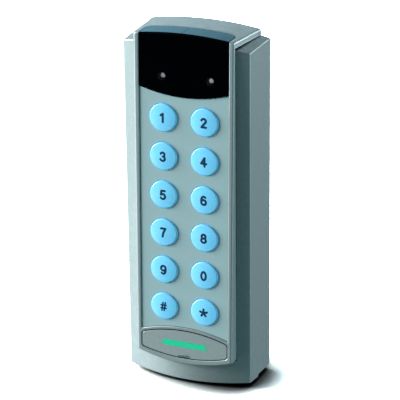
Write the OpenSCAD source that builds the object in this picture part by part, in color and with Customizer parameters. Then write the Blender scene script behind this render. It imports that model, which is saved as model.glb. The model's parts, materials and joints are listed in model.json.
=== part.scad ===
// Wall-mounted card reader with a two-column keypad.
// Millimetres. +Z is up, the wall is the plane y = 0, and the front looks towards -Y.
// The origin is on the wall, on the centre line, level with the middle of the keypad.

/* [Housing] */
// Width of the housing where it meets the wall
housing_w = 56.2; // [55:0.1:58]
// Depth from the wall to the middle of the bowed front
nose_depth = 25.4; // [25:0.1:26]
// Radius of the bowed front, seen from above
front_bow_r = 84; // [78:1:95]
// Height of the housing's top above the origin, on the centre line and the front edge
housing_top = 73.6; // [73:0.1:73.8]
// Rise of the housing's top towards the wall, in degrees
top_rise = 1.8; // [0.5:0.1:2]
// Depth of the housing's lowest point below the origin, on the front edge
housing_bottom = 74.3; // [74:0.1:76]
// Thickness of the housing's walls
wall = 2; // [1.6:0.1:2.2]
// Inward lean of each side wall, in degrees
side_draft = 1.6; // [1:0.1:2]
// Radius of the arched top of the housing and of the cover
arch_r = 150; // [140:1:170]
// Radius of the arched bottom of the housing
bottom_arch_r = 222; // [200:1:240]
// Fall of the front part of the underside towards the wall, in degrees
front_fall = 6; // [4:0.5:7]
// Fall of the rear part of the underside towards the wall, in degrees
rear_fall = 2.5; // [1:0.5:3]
// Distance from the wall to the step in the underside
step_depth = 12.4; // [11:0.1:13]
// Height of the step in the underside
step_rise = 0.9; // [0.5:0.1:1.2]

/* [Front cover] */
// Depth from the wall to the cover's face, level with the origin
face_depth = 25.3; // [25:0.1:26]
// Backward lean of the face, in degrees
face_tilt = 1.5; // [1:0.1:1.8]
// Width of the cover where its top meets the wall
cover_back_w = 48.4; // [48:0.1:49]
// Inward lean of each side of the cover, in degrees
cover_draft = 6; // [5.5:0.1:6.2]
// Height of the cover's top above the origin, on the centre line
cover_top = 77.1; // [77:0.1:78]
// Depth of the cover's lowest point below the origin
cover_bottom = 66.4; // [66:0.1:67]
// Radius of the cover's bottom edge
cover_bottom_r = 65; // [60:1:75]
// Thickness of the cover's front plate
plate_t = 3.2; // [3.1:0.1:3.4]
// Thickness of the cover's top plate
top_plate_t = 2.4; // [2.3:0.1:2.6]
// Thickness of the skirt round the back of the cover
skirt_t = 1.6; // [1.4:0.1:1.7]

/* [Window and keypad] */
// Width of the window and of the keypad panel
inlay_w = 38.7; // [38:0.1:38.8]
// Height of the window's lowest point above the origin
window_bottom = 50.5; // [50:0.1:51]
// Radius of the window's bottom edge
window_bottom_r = 63.4; // [60:0.1:70]
// Thickness of the window's front
window_t = 2; // [1.8:0.1:2]
// Thickness of the window where it wraps over the top
window_top_t = 1.6; // [1.4:0.1:1.6]
// Distance the window reaches back over the top
window_wrap = 9; // [7:0.1:10]
// Thickness of the keypad panel
panel_t = 1.2; // [1:0.1:1.2]
// Distance of the panel behind the face
panel_recess = 0.4; // [0.3:0.05:0.4]
// Diameter of each key's head
key_d = 11.8; // [11.5:0.1:12.4]
// Diameter of the flange behind the panel
key_flange_d = 13.9; // [13.6:0.1:14]
// Distance between the two columns of keys
key_pitch_x = 18; // [17.5:0.1:18]
// Distance between rows of keys
key_pitch_z = 16.5; // [16.2:0.1:16.5]
// Height of a key's crown in front of the face
key_proud = 0.7; // [0.5:0.05:0.9]
// Distance a key travels when pressed
key_travel = 0.8; // [0.5:0.05:0.8]

/* [Service flap] */
// Width of the flap
flap_w = 38.2; // [37.6:0.1:38.4]
// Depth of the flap's highest point below the origin
flap_top = 51.5; // [51.4:0.1:52]
// Depth of the flap's lowest point below the origin
flap_bottom = 63.5; // [63:0.1:63.8]
// Radius of the flap's top edge
flap_top_r = 59.5; // [56:0.5:64]
// Radius of the flap's bottom edge
flap_bottom_r = 68; // [64:0.5:72]
// Thickness of the flap
flap_t = 1.5; // [1.3:0.1:1.5]
// Width of the pry notch in the flap's bottom edge
notch_w = 5.5; // [4:0.1:6]
// Height of the pry notch
notch_h = 1.2; // [1:0.1:1.5]
// Width of the coloured bar on the flap
badge_w = 20; // [14:0.5:24]
// Height of the coloured bar
badge_h = 2.6; // [1.6:0.1:3]

/* [Wall fixing] */
// Distance between the two slotted screw holes
slot_spacing = 83.3; // [82:0.1:84]
// Length of each slot, end to end
slot_length = 9; // [8:0.1:9.5]
// Distance between the two round screw holes
hole_spacing = 60; // [58:0.5:62]
// Diameter of the round holes and width of the slots
hole_d = 4.2; // [3.8:0.1:4.5]
// Width of the cable opening
cable_w = 20; // [16:0.5:20]
// Height of the cable opening
cable_h = 26; // [20:0.5:27]

/* [Hidden] */
$fn = 96;
arc_fn = 360;
reach = 400;
eps = 0.05;
fit_gap = 0.2;

// Half the cover's width at the depth of the face
cover_half_w = cover_back_w / 2 - face_depth * tan(cover_draft);
// Distance of the hollow behind the cover's plate below the cover's top
hollow_drop = 4.5;

// Heights of the features along the face
screw_z = -57.5;
panel_gap_z = 49.7;
panel_bottom_r = flap_top_r + flap_top - panel_gap_z;

// Tab of the seal behind the pry slot
seal_tab_w = 8;
seal_tab_z = [-65.5, -61.7];

// Seat for the cover in the housing's front, and the opening through it
seat_hole_w = 37.2;
seat_hole_z = [-62.5, 71];

// Layers behind the face, measured along its normal
seat_d = 5.4;
skirt_end_d = 4.8;
pocket_wall_t = 1.6;
flap_floor_d = 1.9;
flap_gap = 0.4;
pry_undercut = 0.8;
flange_front_d = panel_recess + panel_t + 0.15;
flange_back_d = flange_front_d + 0.75;
nub_back_d = flange_back_d + 0.4;
mat_front_d = nub_back_d + key_travel + 0.25;
mat_back_d = mat_front_d + 0.75;
board_front_d = mat_back_d + 0.45;
board_back_d = board_front_d + 1.2;

// Boards, mat and lamps behind the keys
mat_size = [34.6, 98];
board_w = 35;
board_z = [-57.5, 68];
// Offset of the two lamps at the sides of a key's middle
lamp_offset = 4.6;
lamp_size = [0.8, 0.83, 1.6];
led_x = 10.5;
led_z = 57.8;
led_d = 3;
led_tip_d = 2.6;
shroud_d = [2.3, 3.1];
shroud_tube_d = 5.4;

// Posts for the keypad board, as [x, height]
post_at = [[-15, 52], [15, 52], [-15, -54.5], [15, -54.5]];
post_d = 4.6;
pilot_d = 1.6;

// Security screw, the sleeve round it, and the flap's lugs beside it
screw_d = 3;
screw_head_d = 5.6;
screw_head_y = [2.4, 4.58];
screw_end_d = 18.6;
sleeve_d = 7.6;
sleeve_end_d = 12.9;
lug_x = 13;
lug_d = 2.5;
lug_end_d = 4;

// Planes behind the keypad, measured from the wall
plate_wall_t = 2.4;
main_board_y = [-11.6, -10];
main_board_z = [-50, 64];
main_board_w = 44;
stand_at = [[-19, -46], [19, -46], [-19, 60], [19, 60]];
stand_d = 5.4;

// Lip under the cover's top, and the hook on the back plate that holds it
lip_w = 16;
lip_y = [-4.6, -3.2];
lip_bottom_z = 69.2;
lip_play = 0.8;
hook_w = 18;
hook_y = [-6.2, -5];
hook_z = [66.5, 68, 70.5];

// Antenna loop on the main board
loop_z = 30;
loop_outer = [33, 52];
loop_inner = [24, 43];
loop_wall = 1.2;
loop_flange_t = 0.6;
loop_y = [-16, -11.65];

// Tamper switch behind the main board
tamper_at = [14, 25];
tamper_stem_d = 3;
tamper_body_y = -7.8;
tamper_collar_y = [-4.9, -3.9];
tamper_collar_d = 4.6;
tamper_tail_d = 1.8;

// Integrated circuits, each as [x, z, side of its square body, leads per side]
chips = [[0, 38, 10, 8], [-4, 19, 7, 6], [-14, -10, 7, 6]];
chip_h = 1.3;
lead_w = 0.35;
lead_pitch = 0.95;

// Screw terminals along the main board's lower edge
terminal_count = 8;
terminal_pitch = 3.5;
terminal_z = [-48, -39.5];
terminal_top_y = main_board_y[0] - 6.2;
terminal_screw_z = (terminal_z[0] + terminal_z[1]) / 2 + 1;

// Ribbon cable between the boards and the sockets at its ends
connector_z = [-31.6, -28];
connector_w = 14;
ribbon_w = 11;
ribbon_t = 0.25;
ribbon_front_d = board_back_d + 1.1;
ribbon_y = [
    -face_depth + connector_z[1] * tan(face_tilt) + ribbon_front_d,
    main_board_y[0] - 1.1,
];

KEY_LABELS = ["1", "2", "3", "4", "5", "6", "7", "8", "9", "0", "hash", "star"];

shell_grey = "#9fb2b4";
panel_grey = "#8fadb0";
key_blue = "#7ac8e8";
board_green = "#2f6b4f";
steel = "#b8bcc0";
black = "#1b1d20";

// ---- Placing and outlines -------------------------------------------------

// The tilted frame of the face: x across, y into the object, z up along the face
module on_face() {
    translate([0, -face_depth, 0])
        rotate([-face_tilt, 0, 0])
            children();
}

// A flat outline in x and z, made solid from one depth y to another
module sheet(from, to) {
    translate([0, to, 0])
        rotate([90, 0, 0])
            linear_extrude(height = to - from)
                children();
}

// A round bar along y through the point at = [x, z]
module rod_y(at, d, from, to) {
    translate([at[0], to, at[1]])
        rotate([90, 0, 0])
            cylinder(d = d, h = to - from);
}

// A box given by its lowest and highest corners
module block(low, high) {
    translate(low)
        cube(high - low);
}

// Everything below an arc that is convex upwards, with its crown at height z
module below_arc(z, r) {
    translate([0, z - r])
        circle(r = r, $fn = arc_fn);
}

// Everything above an arc that is convex downwards, with its lowest point at height z
module above_arc(z, r) {
    translate([0, z + r])
        circle(r = r, $fn = arc_fn);
    translate([-r, z + r])
        square([2 * r, reach]);
}

// The same two limits as solids that run along y: z is their height on the front edge
module under_arch(z, r, rise = 0) {
    translate([0, -nose_depth, z])
        rotate([rise, 0, 0])
            translate([0, 0, -r])
                rotate([90, 0, 0])
                    cylinder(r = r, h = reach, center = true, $fn = arc_fn);
}

module over_arch(z, r, fall = 0) {
    translate([0, -nose_depth, z])
        rotate([-fall, 0, 0])
            translate([0, 0, r])
                rotate([90, 0, 0])
                    cylinder(r = r, h = reach, center = true, $fn = arc_fn);
}

// The space between two side walls that lean in towards the front
module between_sides(half_w, draft) {
    intersection() {
        translate([half_w, 0, 0])
            rotate([0, 0, -draft])
                translate([-reach, -reach / 2, -reach / 2])
                    cube(reach);
        translate([-half_w, 0, 0])
            rotate([0, 0, draft])
                translate([0, -reach / 2, -reach / 2])
                    cube(reach);
    }
}

// A rectangle centred on the origin, with round corners
module rounded_rect(w, h, r) {
    square([w - 2 * r, h], center = true);
    square([w, h - 2 * r], center = true);
    for (x = [-1, 1], z = [-1, 1])
        translate([x * (w / 2 - r), z * (h / 2 - r)])
            circle(r = r);
}

// An upright slot with round ends
module slot(width, length) {
    square([width, length - width], center = true);
    for (end = [-1, 1])
        translate([0, end * (length - width) / 2])
            circle(d = width);
}

// ---- Housing ---------------------------------------------------------------

// Distance from the wall to the bowed front at x, as a y
function bow_y(x) = front_bow_r - nose_depth - sqrt(pow(front_bow_r, 2) - pow(x, 2));

// Limits that the housing's outside and its hollow share
module housing_limits(inset) {
    intersection() {
        between_sides(housing_w / 2 - inset, side_draft);
        translate([0, front_bow_r - nose_depth, 0])
            cylinder(r = front_bow_r - inset, h = reach, center = true, $fn = arc_fn);
        under_arch(housing_top - inset, arch_r - inset, top_rise);
    }
}

module underside_limit() {
    intersection() {
        over_arch(-housing_bottom, bottom_arch_r, front_fall);
        block([-reach, -reach, -reach], [reach, -step_depth, reach]);
    }
    intersection() {
        over_arch(-rear_underside_z(), bottom_arch_r, rear_fall);
        block([-reach, -step_depth, -reach], [reach, 0, reach]);
    }
}

// Height of the rear part of the underside, carried forward to the front edge
function rear_underside_z() =
    housing_bottom - step_rise + (nose_depth - step_depth) * (tan(front_fall) - tan(rear_fall));

// Outline of the cover's front plate, wider by grow
module cover_outline(grow) {
    intersection() {
        below_arc(cover_top + 2, arch_r);
        above_arc(-cover_bottom - grow, cover_bottom_r + grow);
        square([cover_back_w + 2 * grow, reach], center = true);
    }
}

// The cover's outside, wider by grow
module cover_form(grow) {
    intersection() {
        between_sides(cover_back_w / 2 + grow, cover_draft);
        on_face()
            sheet(0, 2 * face_depth)
                cover_outline(grow);
        block([-reach, -reach, -reach], [reach, 0, reach]);
    }
}

// Space for the cover in the housing's front, down to the seat
module cover_pocket() {
    intersection() {
        between_sides(cover_back_w / 2 + fit_gap, cover_draft);
        on_face()
            sheet(-face_depth, seat_d)
                cover_outline(fit_gap);
    }
}

// The seat behind the cover and the walls round the pocket
module pocket_walls() {
    on_face()
        sheet(-face_depth, seat_d + pocket_wall_t)
            intersection() {
                cover_outline(skirt_t);
                square([2 * cover_half_w + 2 * skirt_t, reach], center = true);
            }
}

module seat_opening() {
    on_face()
        sheet(0, 2 * face_depth)
            intersection() {
                square([seat_hole_w, reach], center = true);
                below_arc(seat_hole_z[1], arch_r);
                above_arc(seat_hole_z[0], cover_bottom_r);
            }
}

// The lip under the cover's top, or with play the slot that it passes through
module lip(top_z, play) {
    block(
        [-lip_w / 2 - play, lip_y[0] - play / 2, lip_bottom_z - play],
        [lip_w / 2 + play, lip_y[1] + play / 2, top_z]
    );
}

module housing() {
    color(shell_grey)
        difference() {
            intersection() {
                housing_limits(0);
                underside_limit();
            }
            difference() {
                intersection() {
                    housing_limits(wall);
                    over_arch(wall - housing_bottom + 0.5, bottom_arch_r);
                }
                pocket_walls();
            }
            cover_pocket();
            seat_opening();
            lip(cover_top, lip_play);
        }
}

// ---- Front cover -----------------------------------------------------------

// The window's front, wider by grow
module window_outline(grow) {
    intersection() {
        square([inlay_w + 2 * grow, reach], center = true);
        above_arc(window_bottom - grow, window_bottom_r + grow);
        below_arc(cover_top + 2, arch_r);
    }
}

// The light opening behind the window
module window_light(inset) {
    intersection() {
        window_outline(-inset);
        below_arc(cover_top - top_plate_t - inset, arch_r);
    }
}

// The keypad panel, wider by grow; its ends follow the window and the flap
module panel_outline(grow) {
    difference() {
        translate([-inlay_w / 2 - grow, -flap_bottom])
            square([inlay_w + 2 * grow, flap_bottom + window_bottom + 5]);
        translate([0, window_bottom + window_bottom_r])
            circle(r = window_bottom_r - grow, $fn = arc_fn);
        translate([0, -panel_gap_z - panel_bottom_r])
            circle(r = panel_bottom_r - grow, $fn = arc_fn);
    }
}

// The flap, wider by grow
module flap_outline(grow) {
    intersection() {
        square([flap_w + 2 * grow, reach], center = true);
        below_arc(-flap_top + grow, flap_top_r + grow);
        above_arc(-flap_bottom - grow, flap_bottom_r + grow);
    }
}

// The window's wrap over the top, seen from above, wider by grow
module wrap_plan(grow) {
    corner_r = 3 + grow;
    half_w = inlay_w / 2 + grow;
    back_y = -face_depth + cover_top * tan(face_tilt) + window_wrap + grow;
    translate([-half_w, -2 * face_depth])
        square([2 * half_w, 2 * face_depth + back_y - corner_r]);
    translate([-half_w + corner_r, back_y - 2 * corner_r])
        square([2 * (half_w - corner_r), 2 * corner_r]);
    for (side = [-1, 1])
        translate([side * (half_w - corner_r), back_y - corner_r])
            circle(r = corner_r);
}

// The window, larger by grow all round; drop is its play under the cover's surface
module window_form(grow, drop) {
    intersection() {
        on_face()
            sheet(drop, window_t + grow)
                window_outline(grow);
        under_arch(cover_top - drop, arch_r - drop);
    }
    intersection() {
        linear_extrude(height = reach)
            wrap_plan(grow);
        difference() {
            under_arch(cover_top - drop, arch_r - drop);
            under_arch(cover_top - window_top_t - grow, arch_r - window_top_t - grow);
        }
        on_face()
            sheet(drop, 2 * face_depth)
                square([inlay_w + 2 * grow, reach], center = true);
    }
}

// The hollow behind the cover's plate and skirt
module cover_hollow() {
    intersection() {
        under_arch(cover_top - top_plate_t, arch_r - top_plate_t);
        on_face()
            union() {
                sheet(plate_t, 3 * face_depth)
                    intersection() {
                        square([2 * (cover_half_w - skirt_t), reach], center = true);
                        below_arc(cover_top - hollow_drop, arch_r);
                        above_arc(-cover_bottom + skirt_t, cover_bottom_r - skirt_t);
                    }
                sheet(skirt_end_d, 3 * face_depth)
                    square([reach, reach], center = true);
            }
    }
}

// Gap between the cover's top plate and the housing's top, where the cover's sides stand back
module shadow_gap() {
    side_x = cover_half_w - 1;
    difference() {
        under_arch(cover_top - top_plate_t, arch_r - top_plate_t);
        under_arch(housing_top, arch_r, top_rise);
        block([-side_x, -reach, -reach], [side_x, reach, reach]);
        block([-reach, -reach, -reach], [reach, bow_y(cover_half_w), reach]);
        block([-reach, -reach, -reach], [reach, reach, 0]);
    }
}

// Openings in the cover for the window, panel, flap and screw
module cover_openings() {
    shadow_gap();
    window_form(0.1, -1);
    on_face() {
        sheet(0, plate_t + 1)
            window_light(1.2);
        sheet(-1, panel_recess + panel_t + eps)
            panel_outline(0.1);
        sheet(-1, plate_t + 1)
            panel_outline(-1.5);
        sheet(-1, flap_floor_d)
            flap_outline(flap_gap);
        block(
            [-notch_w / 2, flap_floor_d - eps, -flap_bottom - flap_gap - pry_undercut],
            [notch_w / 2, plate_t + 1, -flap_bottom + notch_h]
        );
        rod_y([0, screw_z], screw_head_d + 0.6, 0, screw_head_y[1] + 0.02);
        rod_y([0, screw_z], screw_d + 0.4, 0, 2 * face_depth);
        for (side = [-1, 1])
            rod_y([side * lug_x, screw_z], lug_d + fit_gap, 0, plate_t + 1);
        for (at = post_at)
            rod_y(at, pilot_d, 2.5, face_depth);
    }
}

module front_cover() {
    color(shell_grey)
        difference() {
            union() {
                difference() {
                    intersection() {
                        cover_form(0);
                        under_arch(cover_top, arch_r);
                    }
                    cover_hollow();
                }
                on_face() {
                    rod_y([0, screw_z], sleeve_d, flap_floor_d + 0.5, sleeve_end_d);
                    for (at = post_at)
                        rod_y(at, post_d, 2.4, board_front_d - eps);
                }
                lip(cover_top - top_plate_t / 2, 0);
            }
            cover_openings();
        }
}

// Foam strip that runs round the end of the cover's skirt
module cover_seal() {
    inset = 0.3;
    lap = 0.15;
    color(black)
        on_face()
            sheet(skirt_end_d + 0.02, seat_d - 0.02)
                difference() {
                    intersection() {
                        square([2 * (cover_half_w - inset), reach], center = true);
                        below_arc(cover_top - hollow_drop + 2 * inset, arch_r);
                        above_arc(-cover_bottom + inset, cover_bottom_r);
                    }
                    intersection() {
                        square([2 * (cover_half_w - skirt_t + lap), reach], center = true);
                        below_arc(cover_top - hollow_drop - lap, arch_r);
                        above_arc(-cover_bottom + skirt_t - lap, cover_bottom_r - skirt_t);
                    }
                }
    // Tab that closes the pry slot from behind
    color(black)
        on_face()
            block(
                [-seal_tab_w / 2, skirt_end_d + 0.02, seal_tab_z[0]],
                [seal_tab_w / 2, seat_d - 0.02, seal_tab_z[1]]
            );
}

module reader_window() {
    color(black, 0.8)
        window_form(0, eps);
}

// ---- Keypad ----------------------------------------------------------------

// Place of key number i, as [x, height]: two columns, six rows
function key_at(i) = [
    (i % 2 - 0.5) * key_pitch_x,
    (2.5 - floor(i / 2)) * key_pitch_z,
];

module keypad_panel() {
    color(panel_grey)
        on_face()
            difference() {
                sheet(panel_recess, panel_recess + panel_t)
                    panel_outline(0);
                for (i = [0:len(KEY_LABELS) - 1])
                    rod_y(key_at(i), key_d + 0.5, -1, face_depth);
            }
}

module key(i) {
    crown = 0.5;
    nub_d = 4;
    crown_r = (pow(key_d / 2, 2) + pow(crown, 2)) / (2 * crown);
    color(key_blue)
        on_face() {
            intersection() {
                rod_y(key_at(i), key_d, -key_proud, flange_front_d);
                translate([key_at(i)[0], crown_r - key_proud, key_at(i)[1]])
                    sphere(r = crown_r, $fn = arc_fn);
            }
            rod_y(key_at(i), key_flange_d, flange_front_d, flange_back_d);
            rod_y(key_at(i), nub_d, flange_back_d, nub_back_d);
        }
}

// Silicone mat with a boss under each key and a light well over each lamp
module keypad_mat() {
    boss_d = 5;
    well = [lamp_size[0] + 0.8, lamp_size[2] + 0.8];
    color("#d8e4e6")
        on_face()
            difference() {
                union() {
                    sheet(mat_front_d, mat_back_d)
                        square(mat_size, center = true);
                    for (i = [0:len(KEY_LABELS) - 1])
                        rod_y(key_at(i), boss_d, mat_front_d - 0.2, mat_front_d + 0.1);
                }
                for (i = [0:len(KEY_LABELS) - 1], side = [-1, 1])
                    translate([key_at(i)[0] + side * lamp_offset, 0, key_at(i)[1]])
                        block([-well[0] / 2, 0, -well[1] / 2], [well[0] / 2, face_depth, well[1] / 2]);
            }
}

// A contact under each key: a raised middle on a wider foot
module key_contacts() {
    foot_d = 6;
    middle_d = 4.2;
    color(steel)
        on_face()
            for (i = [0:len(KEY_LABELS) - 1]) {
                rod_y(key_at(i), foot_d, board_front_d - 0.15, board_front_d - 0.02);
                rod_y(key_at(i), middle_d, board_front_d - 0.39, board_front_d - 0.15);
            }
}

module backlight_leds() {
    color("#f4f6f0")
        on_face()
            for (i = [0:len(KEY_LABELS) - 1], side = [-1, 1])
                translate([key_at(i)[0] + side * lamp_offset, board_front_d - 0.02, key_at(i)[1]])
                    translate([-lamp_size[0] / 2, -lamp_size[1], -lamp_size[2] / 2])
                        cube(lamp_size);
}

module keypad_board() {
    // Side of the notch that clears the screw's sleeve
    notch = 11;
    color(board_green)
        on_face()
            difference() {
                sheet(board_front_d, board_back_d)
                    difference() {
                        translate([-board_w / 2, board_z[0]])
                            square([board_w, board_z[1] - board_z[0]]);
                        translate([-notch / 2, board_z[0] - notch / 2])
                            square([notch, notch]);
                    }
                for (at = post_at)
                    rod_y(at, 2.3, 0, face_depth);
            }
}

module keypad_screws() {
    head_d = 3.8;
    color(steel)
        on_face()
            for (at = post_at) {
                rod_y(at, pilot_d - 0.04, 2.7, board_back_d + 0.1);
                difference() {
                    rod_y(at, head_d, board_back_d + 0.02, board_back_d + 1.2);
                    cross_slot(at, board_back_d + 0.7, board_back_d + 2, 2.4);
                }
            }
}

// A cross recess for a screwdriver
module cross_slot(at, from, to, length) {
    translate([at[0], 0, at[1]])
        for (turn = [0, 90])
            rotate([0, turn, 0])
                block([-length / 2, from, -0.25], [length / 2, to, 0.25]);
}

// ---- Indicator lamps -------------------------------------------------------

module led_shroud() {
    color(black)
        on_face()
            difference() {
                union() {
                    sheet(shroud_d[0], shroud_d[1])
                        window_light(1.5);
                    for (side = [-1, 1])
                        rod_y([side * led_x, led_z], shroud_tube_d, shroud_d[0], board_front_d - eps);
                }
                for (side = [-1, 1])
                    rod_y([side * led_x, led_z], led_d + 0.4, 0, face_depth);
                for (at = post_at)
                    rod_y(at, post_d + 0.4, 0, face_depth);
            }
}

module status_led(side) {
    base_d = board_front_d - 0.02;
    centre_d = led_tip_d + led_d / 2;
    color("#e8ecec")
        on_face() {
            rod_y([side * led_x, led_z], led_d, centre_d, base_d);
            intersection() {
                translate([side * led_x, centre_d, led_z])
                    sphere(d = led_d);
                rod_y([side * led_x, led_z], led_d + 1, 0, base_d);
            }
        }
}

// ---- Service flap ----------------------------------------------------------

module service_flap() {
    color(shell_grey)
        on_face()
            difference() {
                union() {
                    sheet(eps, flap_t + eps)
                        flap_outline(0);
                    for (side = [-1, 1])
                        rod_y([side * lug_x, screw_z], lug_d, flap_t, lug_end_d);
                }
                block([-notch_w / 2, -1, -flap_bottom - 1], [notch_w / 2, 2, -flap_bottom + notch_h]);
                sheet(-1, eps + 0.15)
                    badge_outline(0.05);
            }
}

module badge_outline(grow) {
    translate([0, screw_z])
        rotate([0, 0, 90])
            slot(badge_h + 2 * grow, badge_w + 2 * grow);
}

module flap_badge() {
    color("#1fdca8")
        on_face()
            sheet(eps - 0.03, eps + 0.14)
                badge_outline(0);
}

module security_screw() {
    color(steel)
        on_face()
            difference() {
                union() {
                    rod_y([0, screw_z], screw_head_d, screw_head_y[0], screw_head_y[1]);
                    rod_y([0, screw_z], screw_d, screw_head_y[1] - eps, screw_end_d);
                }
                cross_slot([0, screw_z], screw_head_y[0] - 1, screw_head_y[0] + 1.2, 3.4);
            }
}

// ---- Main board and what stands on it --------------------------------------

module main_board() {
    color(board_green)
        difference() {
            block(
                [-main_board_w / 2, main_board_y[0], main_board_z[0]],
                [main_board_w / 2, main_board_y[1], main_board_z[1]]
            );
            for (at = stand_at)
                rod_y(at, 2.9, -face_depth, 0);
        }
}

module board_screws() {
    top_y = main_board_y[0];
    color(steel)
        for (at = stand_at) {
            rod_y(at, 2.46, top_y - 0.1, -4.6);
            difference() {
                rod_y(at, 4.6, top_y - 1.5, top_y - 0.02);
                cross_slot(at, top_y - 3, top_y - 0.8, 3);
            }
        }
}

module antenna_bobbin() {
    wall_size = [loop_inner[0] + 2 * loop_wall, loop_inner[1] + 2 * loop_wall];
    color(black)
        translate([0, 0, loop_z])
            difference() {
                union() {
                    sheet(loop_y[0], loop_y[1])
                        rounded_rect(wall_size[0], wall_size[1], 3);
                    sheet(loop_y[0], loop_y[0] + loop_flange_t)
                        rounded_rect(loop_outer[0], loop_outer[1], 6);
                    sheet(loop_y[1] - loop_flange_t, loop_y[1])
                        rounded_rect(loop_outer[0], loop_outer[1], 6);
                }
                sheet(-face_depth, 0)
                    rounded_rect(loop_inner[0], loop_inner[1], 2);
            }
}

module antenna_coil() {
    play = 0.03;
    low_y = loop_y[0] + loop_flange_t + play;
    high_y = loop_y[1] - loop_flange_t - play;
    color("#b8703a")
        translate([0, 0, loop_z])
            sheet(low_y, high_y)
                difference() {
                    rounded_rect(loop_outer[0] - 1, loop_outer[1] - 1, 5.5);
                    rounded_rect(
                        loop_inner[0] + 2 * (loop_wall + play),
                        loop_inner[1] + 2 * (loop_wall + play),
                        3 + play
                    );
                }
}

module chip_bodies() {
    color(black)
        for (chip = chips)
            translate([chip[0], main_board_y[0] - 0.15, chip[1]])
                block([-chip[2] / 2, -chip_h, -chip[2] / 2], [chip[2] / 2, 0, chip[2] / 2]);
}

module chip_leads() {
    lead_out = 0.9;
    color(steel)
        for (chip = chips, turn = [0, 90, 180, 270], i = [0:chip[3] - 1])
            translate([chip[0], main_board_y[0] - 0.02, chip[1]])
                rotate([0, turn, 0])
                    translate([chip[2] / 2 + eps, 0, (i - (chip[3] - 1) / 2) * lead_pitch])
                        block([0, -0.6, -lead_w / 2], [lead_out, 0, lead_w / 2]);
}

module capacitors() {
    color("#2b3442")
        for (at = [[-15, -22], [-15, -28.5], [-15, -35]])
            rod_y(at, 5, main_board_y[0] - 5, main_board_y[0] - 0.02);
}

module buzzer() {
    at = [14, -13];
    top_y = main_board_y[0] - 5.6;
    color(black)
        difference() {
            rod_y(at, 12, top_y, main_board_y[0] - 0.02);
            rod_y(at, 2, top_y - 1, top_y + 1.5);
        }
}

function terminal_x(i) = (i - (terminal_count - 1) / 2) * terminal_pitch;

module terminal_block() {
    half_w = terminal_count * terminal_pitch / 2;
    color("#2f7d46")
        difference() {
            block(
                [-half_w, terminal_top_y, terminal_z[0]],
                [half_w, main_board_y[0] - 0.02, terminal_z[1]]
            );
            for (i = [0:terminal_count - 1]) {
                rod_y([terminal_x(i), terminal_screw_z], 2.8, terminal_top_y - 1, terminal_top_y + 2.5);
                translate([terminal_x(i), 0, 0])
                    block(
                        [-1.1, main_board_y[0] - 3.4, terminal_z[0] - 1],
                        [1.1, main_board_y[0] - 1.2, terminal_z[0] + 4]
                    );
            }
        }
}

module terminal_screws() {
    color(steel)
        for (i = [0:terminal_count - 1])
            difference() {
                rod_y([terminal_x(i), terminal_screw_z], 2.6, terminal_top_y + 0.6, terminal_top_y + 2.45);
                translate([terminal_x(i), 0, terminal_screw_z])
                    block([-2, terminal_top_y, -0.25], [2, terminal_top_y + 1.2, 0.25]);
            }
}

// ---- Link between the boards -----------------------------------------------

// A socket whose slot opens upwards, centred on y = 0
module connector() {
    difference() {
        block([-connector_w / 2, -1, connector_z[0]], [connector_w / 2, 1, connector_z[1]]);
        block([-ribbon_w / 2 - 0.3, -0.4, connector_z[1] - 2], [ribbon_w / 2 + 0.3, 0.4, connector_z[1] + 1]);
    }
}

module keypad_connector() {
    color("#e6ddc8")
        on_face()
            translate([0, ribbon_front_d, 0])
                connector();
}

module main_connector() {
    color("#e6ddc8")
        translate([0, ribbon_y[1], 0])
            connector();
}

module ribbon_cable() {
    turn_z = connector_z[1] + 5;
    middle_y = (ribbon_y[0] + ribbon_y[1]) / 2;
    turn_r = (ribbon_y[1] - ribbon_y[0]) / 2;
    color("#d9dde0")
        rotate([90, 0, 90])
            linear_extrude(height = ribbon_w, center = true) {
                for (y = ribbon_y)
                    translate([y - ribbon_t / 2, connector_z[1] - 1.5])
                        square([ribbon_t, turn_z - connector_z[1] + 1.5]);
                translate([middle_y, turn_z])
                    difference() {
                        circle(r = turn_r + ribbon_t / 2);
                        circle(r = turn_r - ribbon_t / 2);
                        translate([-reach / 2, -reach])
                            square(reach);
                    }
            }
}

// ---- Tamper switch ---------------------------------------------------------

module tamper_switch() {
    color(black)
        difference() {
            translate([tamper_at[0], 0, tamper_at[1]])
                block([-3, main_board_y[1] + 0.02, -3], [3, tamper_body_y, 3]);
            rod_y(tamper_at, tamper_tail_d + 0.2, main_board_y[1] + 0.4, 0);
        }
}

module tamper_plunger() {
    color("#d6d2c6") {
        rod_y(tamper_at, tamper_stem_d, tamper_collar_y[0], 0);
        rod_y(tamper_at, tamper_collar_d, tamper_collar_y[0], tamper_collar_y[1]);
        rod_y(tamper_at, tamper_tail_d, tamper_body_y - 1, tamper_collar_y[0]);
    }
}

// A coil of round wire along y: rings of points joined by quads, with flat ends
module coil_spring(mean_r, wire_r, from, to, turns) {
    ring = 8;
    steps = turns * 20;
    rise = to - from - 2 * wire_r;
    points = [
        for (i = [0:steps], j = [0:ring - 1])
            let (
                turn = 360 * turns * i / steps,
                around = 360 * j / ring,
                r = mean_r + wire_r * cos(around)
            )
            [r * cos(turn), from + wire_r + rise * i / steps + wire_r * sin(around), r * sin(turn)]
    ];
    sides = [
        for (i = [0:steps - 1], j = [0:ring - 1])
            let (next = (j + 1) % ring)
            [i * ring + j, i * ring + next, (i + 1) * ring + next, (i + 1) * ring + j]
    ];
    first = [for (j = [ring - 1:-1:0]) j];
    last = [for (j = [0:ring - 1]) steps * ring + j];
    polyhedron(points = points, faces = concat(sides, [first, last]), convexity = 6);
}

module tamper_spring() {
    color(steel)
        translate([tamper_at[0], 0, tamper_at[1]])
            coil_spring(1.7, 0.2, tamper_body_y + 0.02, tamper_collar_y[0] - 0.02, 3);
}

// ---- Back plate ------------------------------------------------------------

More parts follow.
